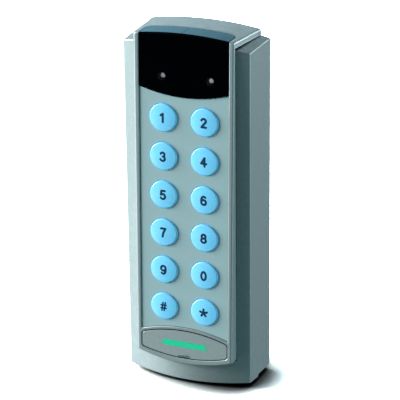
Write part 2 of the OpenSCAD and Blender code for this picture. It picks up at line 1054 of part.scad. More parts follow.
module back_plate_outline() {
    side_w = housing_w - 2 * wall - 1;
    intersection() {
        square([side_w, reach], center = true);
        below_arc(housing_top - wall - 0.4, arch_r);
        above_arc(-housing_bottom + wall + 0.9, bottom_arch_r);
    }
}

module wall_openings() {
    rounded_rect(cable_w, cable_h, 3);
    for (side = [-1, 1]) {
        translate([0, side * slot_spacing / 2])
            slot(hole_d, slot_length);
        translate([0, side * hole_spacing / 2])
            circle(d = hole_d);
    }
}

module back_plate() {
    color("#5c6668")
        difference() {
            union() {
                sheet(-plate_wall_t, 0)
                    back_plate_outline();
                for (at = stand_at)
                    rod_y(at, stand_d, main_board_y[1] + 0.02, -plate_wall_t + 0.5);
                on_face()
                    rod_y([0, screw_z], 8, 13, face_depth - 0.3);
                block([-hook_w / 2, hook_y[0], hook_z[0]], [hook_w / 2, -plate_wall_t + 0.5, hook_z[1]]);
                block([-hook_w / 2, hook_y[0], hook_z[0]], [hook_w / 2, hook_y[1], hook_z[2]]);
            }
            sheet(-plate_wall_t - 1, 1)
                wall_openings();
            for (at = stand_at)
                rod_y(at, 2.5, -face_depth, -4.4);
            on_face()
                rod_y([0, screw_z], 3.04, 0, 19.5);
            rod_y(tamper_at, tamper_stem_d + 0.16, -face_depth, 1);
        }
}

// ---- Which nodes are drawn -------------------------------------------------

housing();
front_cover();
cover_seal();
reader_window();
keypad_panel();
key(0);  // key_1
key(1);  // key_2
key(2);  // key_3
key(3);  // key_4
key(4);  // key_5
key(5);  // key_6
key(6);  // key_7
key(7);  // key_8
key(8);  // key_9
key(9);  // key_0
key(10);  // key_hash
key(11);  // key_star
keypad_mat();
key_contacts();
backlight_leds();
keypad_board();
keypad_screws();
led_shroud();
status_led(-1);  // status_led_left
status_led(1);  // status_led_right
service_flap();
flap_badge();
security_screw();
main_board();
board_screws();
antenna_bobbin();
antenna_coil();
chip_bodies();
chip_leads();
capacitors();
buzzer();
terminal_block();
terminal_screws();
keypad_connector();
main_connector();
ribbon_cable();
tamper_switch();
tamper_plunger();
tamper_spring();
back_plate();
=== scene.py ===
from contextlib import contextmanager
import json
import math

import bmesh
import bpy
from mathutils import Matrix, Vector


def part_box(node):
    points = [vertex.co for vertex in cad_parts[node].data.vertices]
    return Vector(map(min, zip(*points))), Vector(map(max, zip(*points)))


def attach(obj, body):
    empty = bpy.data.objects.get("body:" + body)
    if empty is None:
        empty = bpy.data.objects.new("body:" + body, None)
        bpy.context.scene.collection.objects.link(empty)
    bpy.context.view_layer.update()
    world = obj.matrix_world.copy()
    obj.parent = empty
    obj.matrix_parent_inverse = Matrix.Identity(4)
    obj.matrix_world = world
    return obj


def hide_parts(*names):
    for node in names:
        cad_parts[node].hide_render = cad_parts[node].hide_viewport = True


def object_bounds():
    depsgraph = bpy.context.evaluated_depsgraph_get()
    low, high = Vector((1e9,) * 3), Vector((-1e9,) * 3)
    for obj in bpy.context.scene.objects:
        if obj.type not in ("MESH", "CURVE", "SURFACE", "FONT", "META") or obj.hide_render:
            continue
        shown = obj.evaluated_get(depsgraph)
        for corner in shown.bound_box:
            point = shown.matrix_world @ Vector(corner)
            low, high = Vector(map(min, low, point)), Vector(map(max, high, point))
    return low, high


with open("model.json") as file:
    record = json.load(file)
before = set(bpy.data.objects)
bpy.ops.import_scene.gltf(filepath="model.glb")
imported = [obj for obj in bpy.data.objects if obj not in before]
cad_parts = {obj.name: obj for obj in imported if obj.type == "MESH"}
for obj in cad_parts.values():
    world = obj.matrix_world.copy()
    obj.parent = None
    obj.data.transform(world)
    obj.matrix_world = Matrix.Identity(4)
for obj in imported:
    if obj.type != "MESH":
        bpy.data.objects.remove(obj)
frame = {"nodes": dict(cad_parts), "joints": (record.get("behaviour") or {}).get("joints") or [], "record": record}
cad_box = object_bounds()

# Everything is worked out in millimetres and scaled to metres when a mesh is made.
MM = 0.001

# ---- Sizes that the frame gives -------------------------------------------


def box_mm(node):
    """Lowest and highest corner of a CAD node, in millimetres."""
    low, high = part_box(node)
    return low / MM, high / MM


press = next(j for j in frame["joints"] if j["name"] == "key_1_press")["axis"]
TILT = math.atan2(-press[2], press[1])
COVER_LOW, COVER_HIGH = box_mm("front_cover")
FACE_DEPTH = COVER_LOW.z * math.tan(TILT) - COVER_LOW.y
HOUSING_LOW, HOUSING_HIGH = box_mm("housing")
WINDOW_LOW, WINDOW_HIGH = box_mm("reader_window")
KEY_LABELS = [*"1234567890", "hash", "star"]


def on_face(x, depth, height):
    """A point given across, behind and up along the tilted face, in the row frame."""
    y = -FACE_DEPTH + depth * math.cos(TILT) + height * math.sin(TILT)
    z = -depth * math.sin(TILT) + height * math.cos(TILT)
    return Vector((x, y, z))


def to_face(point):
    """The reverse of on_face: (across, depth behind the face, height along it)."""
    y = point.y + FACE_DEPTH
    depth = y * math.cos(TILT) - point.z * math.sin(TILT)
    height = y * math.sin(TILT) + point.z * math.cos(TILT)
    return Vector((point.x, depth, height))


def height_at(z, depth):
    """Height along the face of a point at level z and that depth."""
    return (z + depth * math.sin(TILT)) / math.cos(TILT)


# ---- Sizes of the visible shell, in millimetres ----------------------------

ARCH_R = 150.0
HOUSING_HALF_W = HOUSING_HIGH.x
HOUSING_TOP = 73.6
TOP_RISE = math.tan(math.radians(1.8))
SIDE_LEAN = math.tan(math.radians(1.6))
BOW_R = 84.0
NOSE_DEPTH = -HOUSING_LOW.y
BOTTOM_R = 222.0
BOTTOM_FRONT_Z = -74.3
BOTTOM_REAR_Z = -74.2
FRONT_FALL = math.tan(math.radians(6))
REAR_FALL = math.tan(math.radians(2.5))
STEP_Y = -12.4
# Solids are built this far past the wall plane, rounded, and then cut flat on it
PAST_WALL = 3.0
WALL = 2.0
OPENING_HALF_W = 18.6
OPENING_TOP = 71.0
OPENING_BOTTOM = -62.5

COVER_HALF_W = COVER_HIGH.x
COVER_LEAN = math.tan(math.radians(6))
EDGE_R = 0.5
COVER_TOP = COVER_HIGH.z
COVER_BOTTOM = -66.4
COVER_BOTTOM_R = 65.0
PLATE_T = 3.2
TOP_PLATE_T = 2.4
SKIRT_T = 1.6
SKIRT_END = 4.8
SEAT_DEPTH = 5.4
SEAT_GAP = 0.2
LIP_HALF_W = 8.0
LIP_SLOT_GAP = 0.8
SLEEVE_R = 3.8
SLEEVE_END = 12.9
POST_R = 2.3
POST_SPOTS = ((-15, 52), (15, 52), (-15, -54.5), (15, -54.5))

INLAY_HALF_W = WINDOW_HIGH.x
WINDOW_BOTTOM = 50.5
WINDOW_BOTTOM_R = 63.4
WINDOW_T = 2.0
WINDOW_TOP_T = 1.6
WINDOW_GAP = 0.15
WRAP_CORNER_R = 3.0
WINDOW_BACK_Y = WINDOW_HIGH.y
SEAM_X = -1.0
SEAM_W = 0.15
SEAM_DEPTH = 0.3

PANEL_DEPTH = 0.4
PANEL_T = 1.2
PANEL_BOTTOM = -49.7
FLAP_TOP = -51.5
FLAP_TOP_R = 59.5
FLAP_BOTTOM = -63.5
FLAP_BOTTOM_R = 68.0
FLAP_HALF_W = box_mm("service_flap")[1].x
FLAP_T = 1.5
FLAP_FLOOR = 1.9
FLAP_GAP = 0.4
PRY_UNDERCUT = 0.8
NOTCH_W = 5.5
NOTCH_H = 1.2
SCREW_HEIGHT = -57.5
HEAD_BORE_R = 3.1
HEAD_BORE_END = 4.6
SHANK_BORE_R = 1.7
LUG_X = 13.0
LUG_R = 1.25
LUG_HOLE_R = 1.35
BADGE_W = 20.0
BADGE_H = 2.6

KEY_R = 5.9
KEY_FLANGE_R = 6.95
KEY_PROUD = 0.7
KEY_CROWN = 0.5
KEY_RIM = 0.45
FLANGE_FRONT = 1.75
FLANGE_BACK = 2.5
NUB_R = 2.0
NUB_BACK = 2.9
LEGEND_H = 4.5
STROKE_HALF_W = 0.48
HASH_HALF_W = 0.36
CHAR_HALF_H = LEGEND_H / 2 - STROKE_HALF_W
LEGEND_SINK = 0.1
LEGEND_PROUD = 0.03

# ---- Mesh helpers ----------------------------------------------------------


@contextmanager
def editing(obj):
    """The object's mesh as a bmesh, which is written back at the end."""
    bm = bmesh.new()
    bm.from_mesh(obj.data)
    yield bm
    bm.to_mesh(obj.data)
    bm.free()


def make_object(name, points, faces):
    """A mesh object from points in millimetres, with its faces turned outwards."""
    mesh = bpy.data.meshes.new(name)
    mesh.from_pydata([p * MM for p in points], [], faces)
    obj = bpy.data.objects.new(name, mesh)
    bpy.context.scene.collection.objects.link(obj)
    with editing(obj) as bm:
        bmesh.ops.recalc_face_normals(bm, faces=bm.faces)
    return obj


def loft(name, rings, closed=False):
    """A solid through rings of as many points each; closed joins the last ring to the first."""
    count = len(rings[0])
    points = [p for ring in rings for p in ring]
    faces = []
    for level in range(len(rings) if closed else len(rings) - 1):
        low = level * count
        high = (level + 1) % len(rings) * count
        for i in range(count):
            j = (i + 1) % count
            faces.append((low + i, low + j, high + j, high + i))
    if not closed:
        faces.append(tuple(range(count - 1, -1, -1)))
        faces.append(tuple(range((len(rings) - 1) * count, len(rings) * count)))
    return make_object(name, points, faces)


def lathe(name, profile, centre, steps=64):
    """Turns a profile of (radius, depth) about a line square to the face, from axis to axis."""
    middle = to_face(centre)
    points = []
    faces = []
    for radius, depth in profile:
        turns = 1 if radius == 0 else steps
        for i in range(turns):
            angle = 2 * math.pi * i / steps
            x = middle.x + radius * math.cos(angle)
            height = middle.z + radius * math.sin(angle)
            points.append(on_face(x, depth, height))
    start = 0
    for low, high in zip(profile, profile[1:]):
        low_count = 1 if low[0] == 0 else steps
        high_start = start + low_count
        for i in range(steps):
            j = (i + 1) % steps
            if low[0] == 0:
                faces.append((start, high_start + i, high_start + j))
            elif high[0] == 0:
                faces.append((start + i, start + j, high_start))
            else:
                faces.append((start + i, start + j, high_start + j, high_start + i))
        start = high_start
    return make_object(name, points, faces)


def bake(obj):
    """Replaces an object's mesh by what its modifiers make of it."""
    bpy.context.view_layer.update()
    graph = bpy.context.evaluated_depsgraph_get()
    mesh = bpy.data.meshes.new_from_object(obj.evaluated_get(graph))
    old = obj.data
    obj.modifiers.clear()
    obj.data = mesh
    bpy.data.meshes.remove(old)
    return obj


def combine(obj, other, operation):
    """Boolean of two solids; other is used up."""
    modifier = obj.modifiers.new("combine", "BOOLEAN")
    modifier.object = other
    modifier.operation = operation
    modifier.solver = "EXACT"
    bake(obj)
    bpy.data.objects.remove(other)
    return obj


def cut(obj, *tools):
    """Takes the tools away from obj."""
    for tool in tools:
        combine(obj, tool, "DIFFERENCE")
    return obj


def join(obj, *others):
    """Adds the others to obj as one solid."""
    for other in others:
        combine(obj, other, "UNION")
    return obj


def round_edges(obj, width, segments, angle):
    """Rounds every edge that turns by more than angle; width is in millimetres."""
    bevel = obj.modifiers.new("round", "BEVEL")
    bevel.width = width * MM
    bevel.segments = segments
    bevel.limit_method = "ANGLE"
    bevel.angle_limit = math.radians(angle)
    bevel.miter_outer = "MITER_ARC"
    bevel.use_clamp_overlap = True
    return bake(obj)


def weld(obj, distance=0.004):
    """Merges points closer than distance and removes slivers, so that bevels run clean."""
    with editing(obj) as bm:
        bmesh.ops.remove_doubles(bm, verts=bm.verts, dist=distance * MM)
        bmesh.ops.dissolve_degenerate(bm, dist=distance * MM, edges=bm.edges)
    return obj


def heal(obj):
    """Drops loose edges and points, closes small holes and turns the faces outwards."""
    with editing(obj) as bm:
        bmesh.ops.delete(bm, geom=[e for e in bm.edges if not e.link_faces], context="EDGES")
        bmesh.ops.delete(bm, geom=[v for v in bm.verts if not v.link_faces], context="VERTS")
        bmesh.ops.holes_fill(bm, edges=bm.edges, sides=0)
        bmesh.ops.recalc_face_normals(bm, faces=bm.faces)
    return obj


def smooth(obj, angle=40.0):
    """Smooth shading that keeps flat faces flat and sharp edges sharp."""
    obj.data.shade_smooth()
    obj.data.set_sharp_from_angle(angle=math.radians(angle))
    weighted = obj.modifiers.new("normals", "WEIGHTED_NORMAL")
    weighted.keep_sharp = True
    return bake(obj)


def samples(low, high, count):
    """Evenly spaced values from low to high, both included."""
    return [low + (high - low) * i / (count - 1) for i in range(count)]


def angles(low, high, count):
    """Evenly spaced angles between two values in degrees, as radians."""
    return [math.radians(a) for a in samples(low, high, count)]


def arc_up(x, crown, radius):
    """Height of an arc that is convex upwards, at x."""
    return crown - radius + math.sqrt(radius * radius - x * x)


def arc_down(x, lowest, radius):
    """Height of an arc that is convex downwards, at x."""
    return lowest + radius - math.sqrt(radius * radius - x * x)


def soften(outline, reach, steps=6, turn=math.radians(30)):
    """Rounds each sharp corner of a closed outline, from reach before it to reach after it."""
    count = len(outline)

    def direction(i, step):
        corner = outline[i]
        k = (i + step) % count
        while (outline[k] - corner).length < reach:
            k = (k + step) % count
        return (outline[k] - corner).normalized()

    corners = []
    for i, point in enumerate(outline):
        before = point - outline[i - 1]
        after = outline[(i + 1) % count] - point
        if before.length > 0 and after.length > 0 and before.angle(after) > turn:
            corners.append(i)
    result = []
    for i, point in enumerate(outline):
        if i in corners:
            start = point + direction(i, -1) * reach
            end = point + direction(i, 1) * reach
            for t in samples(0, 1, steps):
                result.append((1 - t) ** 2 * start + 2 * t * (1 - t) * point + t * t * end)
        elif all((point - outline[c]).length > reach for c in corners):
            result.append(point)
    return result


def between_arcs(half_w, top, bottom, count=41):
    """Closed outline between two functions of x; the sides are straight."""
    xs = samples(-half_w, half_w, count)
    low = [Vector((x, bottom(x))) for x in xs]
    high = [Vector((x, top(x))) for x in reversed(xs)]
    return low + high


def notched(outline):
    """The outline of the flap with the pry notch let into its bottom edge."""
    half_w = NOTCH_W / 2
    top = FLAP_BOTTOM + NOTCH_H
    corner = 0.6
    sides = (-half_w, -half_w, corner - half_w, half_w - corner, half_w, half_w)
    edge = arc_down(half_w, FLAP_BOTTOM, FLAP_BOTTOM_R)
    heights = (edge, top - corner, top, top, top - corner, edge)
    gone = [i for i, p in enumerate(outline) if abs(p.x) <= half_w and p.y < SCREW_HEIGHT]
    notch = [Vector(spot) for spot in zip(sides, heights)]
    return outline[: gone[0]] + notch + outline[gone[-1] + 1 :]


def plate(name, outline, front, back):
    """A flat outline on the face, made solid between two depths."""
    rings = [[on_face(p.x, depth, p.y) for p in outline] for depth in (front, back)]
    return loft(name, rings)


def rounded_mouth(radius, steps=5):
    """(depth, grow) pairs down a rounded edge, from in front of the face to where it ends."""
    before_face = -2.5
    pairs = [(before_face, radius)]
    for t in angles(0, 90, steps):
        pairs.append((radius * (1 - math.cos(t)), radius * (1 - math.sin(t))))
    return pairs


def opening(name, outline, floor, radius):
    """A tool that cuts an opening down to floor with a rounded edge; outline is a function of grow."""
    rings = []
    for depth, grow in rounded_mouth(radius) + [(floor, 0.0)]:
        rings.append([on_face(p.x, depth, p.y) for p in outline(grow)])
    return loft(name, rings)


def disc(name, x, height, radius, front, back, steps=48):
    """A round bar square to the face."""
    turn = [2 * math.pi * i / steps for i in range(steps)]
    outline = [Vector((x + radius * math.cos(a), height + radius * math.sin(a))) for a in turn]
    return plate(name, outline, front, back)


def brick(name, low, high):
    """A box in the row frame, used as a cutting tool."""
    ring = [(low.x, low.z), (high.x, low.z), (high.x, high.z), (low.x, high.z)]
    rings = [[Vector((x, y, z)) for x, z in ring] for y in (low.y, high.y)]
    return loft(name, rings)


def finish_piece(obj, body, slot, *nodes, finish=None):
    """Shades a piece, gives it its body and material, and hides the CAD nodes it stands for."""
    smooth(obj)
    obj.data.materials.clear()
    obj.data.materials.append(materials[finish or slot])
    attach(obj, body)
    if nodes:
        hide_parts(*nodes)
    return obj


# ---- Material helpers ------------------------------------------------------


class Shader:
    """A node material around one Principled shader, in the object's own coordinates."""

    def __init__(self, name, **values):
        self.material = bpy.data.materials.new(name)
        self.material.use_nodes = True
        self.nodes = self.material.node_tree.nodes
        self.links = self.material.node_tree.links
        self.surface = self.nodes["Principled BSDF"]
        for key, value in values.items():
            self.set(key.replace("_", " "), value)

    def set(self, socket, value):
        """Sets a socket of the Principled shader to a value or links an output to it."""
        names = {i.name.lower(): i for i in self.surface.inputs}
        self.feed(names[socket.lower()], value)

    def feed(self, socket, value):
        if isinstance(value, bpy.types.NodeSocket):
            self.links.new(value, socket)
        elif isinstance(value, tuple) and len(value) == 3 and socket.type == "RGBA":
            socket.default_value = (*value, 1.0)
        else:
            socket.default_value = value

    def add(self, kind, *inputs, **settings):
        """A new node: settings are its properties, inputs feed its sockets in order."""
        node = self.nodes.new(kind)
        for key, value in settings.items():
            setattr(node, key, value)
        for socket, value in zip(node.inputs, inputs):
            if value is not None:
                self.feed(socket, value)
        return node

    def place(self):
        """Coordinates fixed to the piece, in millimetres."""
        coordinates = self.add("ShaderNodeTexCoord").outputs["Object"]
        scaled = self.add("ShaderNodeVectorMath", coordinates, (1 / MM,) * 3, operation="MULTIPLY")
        return scaled.outputs[0]

    def noise(self, size, detail=2.0, rough=0.5):
        """Smooth noise from 0 to 1, with features of that size in millimetres."""
        node = self.add("ShaderNodeTexNoise", self.place())
        node.inputs["Scale"].default_value = 1.0 / size
        node.inputs["Detail"].default_value = detail
        node.inputs["Roughness"].default_value = rough
        return node.outputs["Fac"]

    def ramp(self, value, low, high, start=0.0, end=1.0):
        """Maps value from low..high to start..end, without going past either end."""
        node = self.add("ShaderNodeMapRange", value, low, high, start, end)
        return node.outputs["Result"]

    def mottle(self, size, detail):
        """Noise whose range is stretched to fill 0 to 1."""
        return self.ramp(self.noise(size, detail), 0.3, 0.7)

    def edges(self):
        """1 where the surface turns away from all three axes, as it does on a rounded edge."""
        normal = self.add("ShaderNodeNewGeometry").outputs["Normal"]
        size = self.add("ShaderNodeVectorMath", normal, operation="ABSOLUTE").outputs[0]
        split = self.add("ShaderNodeSeparateXYZ", size)
        nearest = self.math("MAXIMUM", split.outputs[1], split.outputs[2])
        nearest = self.math("MAXIMUM", split.outputs[0], nearest)
        return self.ramp(nearest, 0.94, 0.82)

    def crevice_shade(self, reach):
        """1 in gaps and slots much narrower than that reach in millimetres, 0 on open surfaces; it masks painted
        shade.
        """
        node = self.add("ShaderNodeAmbientOcclusion")
        node.inputs["Distance"].default_value = reach * MM
        return self.ramp(node.outputs["AO"], 0.75, 0.35)

    def math(self, operation, *values):
        return self.add("ShaderNodeMath", *values, operation=operation).outputs[0]

    def times(self, first, second):
        return self.math("MULTIPLY", first, second)

    def mix(self, share, first, second):
        """Colour between first and second."""
        node = self.add("ShaderNodeMix", data_type="RGBA")
        self.feed(node.inputs["Factor"], share)
        self.feed(node.inputs[6], first)
        self.feed(node.inputs[7], second)
        return node.outputs[2]

    def paint(self, share, first, second):
        """Base colour between first and second."""
        self.set("base color", self.mix(share, first, second))

    def roughen(self, value, low, high):
        """Roughness from low to high as value goes from 0 to 1."""
        self.set("roughness", self.ramp(value, 0.0, 1.0, low, high))

    def bump(self, height, distance, strength):
        """Bump of that depth in millimetres."""
        node = self.add("ShaderNodeBump")
        node.inputs["Strength"].default_value = strength
        node.inputs["Distance"].default_value = distance * MM
        self.feed(node.inputs["Height"], height)
        self.set("normal", node.outputs[0])


def shade(colour, share, lift=0.0):
    """A colour made lighter or darker."""
    return tuple(min(1.0, c * share + lift) for c in colour)


def srgb(red, green, blue):
    """A colour given as 0 to 255 in sRGB, as the linear values that Blender uses."""
    def linear(value):
        value = value / 255.0
        return value / 12.92 if value <= 0.04045 else ((value + 0.055) / 1.055) ** 2.4
    return linear(red), linear(green), linear(blue)


def moulded_shell(name, colour):
    """Satin paint with a fine metallic fleck, mottled, with a painted highlight on rounded edges and painted shade
    in gaps and slots.
    """
    shader = Shader(name, metallic=0.5, coat_weight=0.12, coat_roughness=0.3)
    fleck = shader.ramp(shader.noise(0.35, 2.0), 0.35, 0.65)
    mottle = shader.mottle(3.0, 3.0)
    base = shader.mix(shader.times(fleck, 0.6), colour, shade(colour, 1.35))
    base = shader.mix(shader.times(mottle, 0.25), base, shade(colour, 0.8))
    # Painted highlight: rounded edges are painted paler, more in some patches than in others
    edge_highlight = shader.times(shader.edges(), shader.ramp(shader.noise(2.4, 4.0), 0.3, 0.7, 0.5, 1.0))
    base = shader.mix(edge_highlight, base, shade(colour, 1.5))
    # Painted shade: gaps, slots and recesses are painted nearly black
    shader.paint(shader.crevice_shade(3.0), base, shade(colour, 0.1))
    shader.roughen(mottle, 0.36, 0.44)
    shader.bump(shader.noise(0.30, 3.0, 0.6), 0.02, 0.6)
    return shader.material


def panel_plastic():
    """Matte inlay that glows faintly blue round each backlit key."""
    shader = Shader("panel_plastic")
    split = shader.add("ShaderNodeSeparateXYZ", shader.place())
    key_low, key_high = (to_face((sum(box_mm(n), Vector())) / 2) for n in ("key_1", "key_4"))
    pitch = key_low.z - key_high.z
    across = shader.math("SUBTRACT", shader.math("ABSOLUTE", split.outputs[0]), key_high.x)
    up = shader.math("ADD", split.outputs[2], 6 * pitch)
    row = shader.math("SUBTRACT", shader.math("MODULO", up, pitch), pitch / 2)
    squares = shader.math("ADD", shader.times(across, across), shader.times(row, row))
    halo = shader.ramp(shader.math("SQRT", squares), KEY_R + 2.2, KEY_R)
    halo = shader.math("POWER", halo, 2.0)
    mottle = shader.mottle(5.0, 4.0)
    grain = shader.mottle(0.25, 2.0)
    base = shader.mix(shader.times(mottle, 0.5), srgb(150, 186, 190), srgb(162, 184, 194))
    base = shader.mix(shader.times(grain, 0.3), base, srgb(126, 165, 168))
    shader.paint(shader.times(halo, 0.35), base, srgb(110, 180, 210))
    shader.set("emission color", srgb(90, 190, 235))
    shader.set("emission strength", shader.times(halo, 0.03))
    shader.roughen(grain, 0.5, 0.62)
    shader.bump(grain, 0.012, 0.6)
    return shader.material


def key_plastic():
    """Translucent key cap lit from behind."""
    shader = Shader("key_plastic", subsurface_weight=0.25, subsurface_scale=1.5 * MM, coat_weight=0.25)
    mottle = shader.mottle(0.7, 3.0)
    base = shader.mix(mottle, srgb(106, 190, 226), srgb(116, 196, 232))
    rim = shader.edges()
    # Painted highlight: the rounded rim is painted paler, and glows less
    shader.paint(shader.times(rim, 0.7), base, srgb(150, 192, 208))
    shader.set("emission color", shader.mix(mottle, srgb(98, 198, 246), srgb(108, 206, 250)))
    shader.set("emission strength", shader.ramp(rim, 0.0, 1.0, 0.32, 0.14))
    shader.roughen(mottle, 0.34, 0.42)
    shader.bump(shader.noise(0.35, 2.0), 0.01, 0.5)
    return shader.material


def printed_ink(name, colour):
    """A thin printed film of slightly uneven tone."""
    shader = Shader(name, specular_ior_level=0.25)
    tone = shader.mottle(0.5, 3.0)
    shader.paint(tone, colour, shade(colour, 1.25))
    shader.roughen(tone, 0.5, 0.6)
    shader.bump(tone, 0.006, 0.5)
    return shader.material


def smoked_window():
    """Polished smoked plastic: black face on, and a bluish mirror where it is seen at a low angle."""
    shader = Shader("smoked_window", base_color=srgb(3, 4, 7), roughness=0.12, specular_ior_level=0.0)
    facing = shader.add("ShaderNodeLayerWeight", 0.5).outputs["Facing"]
    glancing = shader.times(shader.math("POWER", facing, 3.0), 0.85)
    haze = shader.mottle(6.0, 3.0)
    blur = shader.ramp(haze, 0.0, 1.0, 0.24, 0.30)
    gloss = shader.add("ShaderNodeBsdfGlossy", srgb(172, 222, 240), blur)
    shader.roughen(haze, 0.10, 0.18)
    coated = shader.add("ShaderNodeMixShader", shader.math("MINIMUM", glancing, 1.0))
    shader.links.new(shader.surface.outputs[0], coated.inputs[1])
    shader.links.new(gloss.outputs[0], coated.inputs[2])
    clear = shader.add("ShaderNodeBsdfTransparent", srgb(180, 180, 188))
    see_through = shader.add("ShaderNodeMixShader", shader.ramp(facing, 0.15, 0.7, 0.5, 0.0))
    shader.links.new(coated.outputs[0], see_through.inputs[1])
    shader.links.new(clear.outputs[0], see_through.inputs[2])
    shader.links.new(see_through.outputs[0], shader.nodes["Material Output"].inputs[0])
    return shader.material


def moulded_plastic(name, colour, rough=0.5):
    """Plain moulded plastic with a fine spark-eroded grain."""
    shader = Shader(name)
    grain = shader.mottle(0.25, 3.0)
    tone = shader.mottle(4.0, 3.0)
    shader.paint(shader.times(tone, 0.5), colour, shade(colour, 1.3, 0.004))
    shader.roughen(grain, rough - 0.06, rough + 0.08)
    shader.bump(grain, 0.02, 0.6)
    return shader.material


def plated_metal(name, colour, rough=0.3):
    """Plated or drawn metal with fine directional scratches."""
    shader = Shader(name, metallic=1.0)
    lengths = (8.0, 8.0, 0.6)
    stretched = shader.add("ShaderNodeVectorMath", shader.place(), lengths, operation="MULTIPLY")
    scratch = shader.add("ShaderNodeTexNoise", stretched.outputs[0])
    scratch.inputs["Scale"].default_value = 1.0
    fine = shader.ramp(scratch.outputs["Fac"], 0.3, 0.7)
    shader.paint(fine, colour, shade(colour, 0.8))
    shader.roughen(fine, rough - 0.06, rough + 0.1)
    shader.bump(fine, 0.01, 0.4)
    return shader.material


def board_laminate():
    """Green solder resist over a woven glass board, with fine raised tracks."""
    shader = Shader("board_laminate", coat_weight=0.4, coat_roughness=0.2)
    place = shader.place()
    tracks = shader.add("ShaderNodeTexBrick", place)
    tracks.inputs["Color1"].default_value = (0.0, 0.0, 0.0, 1.0)
    tracks.inputs["Color2"].default_value = (0.2, 0.2, 0.2, 1.0)
    tracks.inputs["Mortar"].default_value = (1.0, 1.0, 1.0, 1.0)
    tracks.inputs["Scale"].default_value = 0.5
    tracks.inputs["Mortar Size"].default_value = 0.04
    weave = shader.ramp(shader.noise(0.5, 2.0), 0.35, 0.65)
    base = shader.mix(weave, srgb(26, 84, 52), srgb(34, 98, 62))
    shader.paint(tracks.outputs["Color"], base, srgb(58, 128, 84))
    shader.roughen(weave, 0.3, 0.42)
    shader.bump(tracks.outputs["Color"], 0.02, 0.6)
    return shader.material


def wound_copper():
    """Enamelled copper wire, wound in even turns."""
    shader = Shader("wound_copper", metallic=1.0, coat_weight=0.5)
    split = shader.add("ShaderNodeSeparateXYZ", shader.place())
    turns = shader.math("SINE", shader.times(split.outputs[1], 2 * math.pi / 0.22))
    turns = shader.ramp(turns, -1.0, 1.0)
    shader.paint(turns, srgb(120, 58, 26), srgb(196, 112, 60))
    shader.set("roughness", 0.28)
    shader.bump(turns, 0.08, 0.8)
    return shader.material


def soft_rubber(name, colour):
    """Matte rubber or silicone with a bloom of dust."""
    shader = Shader(name, subsurface_weight=0.1, subsurface_scale=MM)
    dust = shader.ramp(shader.noise(0.8, 5.0), 0.35, 0.75)
    shader.paint(shader.times(dust, 0.4), colour, shade(colour, 1.4, 0.01))
    shader.roughen(dust, 0.6, 0.8)
    shader.bump(dust, 0.02, 0.5)
    return shader.material


def lamp_resin(name, colour, glint_strength):
    """Clear cast resin of a small lamp, with a painted highlight: an emitted spot where it faces the eye."""
    shader = Shader(name, coat_weight=1.0, coat_roughness=0.05)
    shader.set("subsurface weight", 0.3)
    shader.set("subsurface scale", MM)
    cloud = shader.mottle(0.8, 3.0)
    shader.paint(cloud, colour, shade(colour, 0.85))
    facing = shader.add("ShaderNodeLayerWeight", 0.5).outputs["Facing"]
    # Painted highlight: the resin emits a spot where it faces the eye
    glint = shader.times(shader.ramp(facing, 0.35, 0.0), shader.ramp(cloud, 0.0, 1.0, 0.6, 1.0))
    shader.set("emission color", colour)
    shader.set("emission strength", shader.times(glint, glint_strength))
    shader.roughen(cloud, 0.08, 0.16)
    return shader.material


materials = {
    "shell": moulded_shell("shell_paint", srgb(150, 168, 171)),
    # The flap has the shell paint made lighter: painted light that stands in for light from the lower left
    "flap_shell": moulded_shell("flap_paint_painted_light", srgb(158, 176, 179)),
    "panel": panel_plastic(),
    "key_plastic": key_plastic(),
    "legend": printed_ink("legend_ink", srgb(4, 44, 76)),
    "badge_green": printed_ink("badge_ink", srgb(24, 200, 150)),
    "smoked_window": smoked_window(),
    "back_plate_grey": moulded_plastic("back_plate_plastic", srgb(92, 102, 104), 0.55),
    "black_plastic": moulded_plastic("black_plastic", srgb(26, 27, 30)),
    "terminal_green": moulded_plastic("terminal_plastic", srgb(40, 122, 66)),
    "connector_cream": moulded_plastic("connector_plastic", srgb(226, 218, 196)),
    "plunger_white": moulded_plastic("plunger_plastic", srgb(214, 208, 196), 0.4),
    "capacitor_sleeve": moulded_plastic("sleeve_film", srgb(34, 44, 70), 0.25),
    "ribbon": moulded_plastic("ribbon_film", srgb(214, 220, 224), 0.3),
    "screw_steel": plated_metal("zinc_plate", srgb(196, 198, 202)),
    "contact_metal": plated_metal("tinned_metal", srgb(200, 198, 190), 0.25),
    "spring_steel": plated_metal("spring_wire", srgb(176, 178, 182), 0.25),
    "board_laminate": board_laminate(),
    "coil_copper": wound_copper(),
    "seal_rubber": soft_rubber("seal_rubber", srgb(26, 27, 29)),
    "silicone": soft_rubber("mat_silicone", srgb(205, 216, 219)),
    "lamp_white": lamp_resin("backlight_resin", srgb(235, 240, 228), 0.05),
    "lamp_clear": lamp_resin("status_resin", srgb(226, 220, 218), 10.0),
}

# ---- Housing ---------------------------------------------------------------


def beyond_wall():
    """Everything behind the wall plane, as a cutting tool."""
    return brick("beyond_wall", Vector((-60, 0, -90)), Vector((60, 2 * PAST_WALL, 90)))


def bow_y(x, inset=0.0):
    """Where the bowed front is at x, as a y."""
    radius = BOW_R - inset
    return BOW_R - NOSE_DEPTH - math.sqrt(radius * radius - x * x)


def housing_top_at(x, y, inset=0.0):
    """Height of the housing's top, which rises towards the wall."""
    return arc_up(x, HOUSING_TOP - inset, ARCH_R - inset) + (y + NOSE_DEPTH) * TOP_RISE


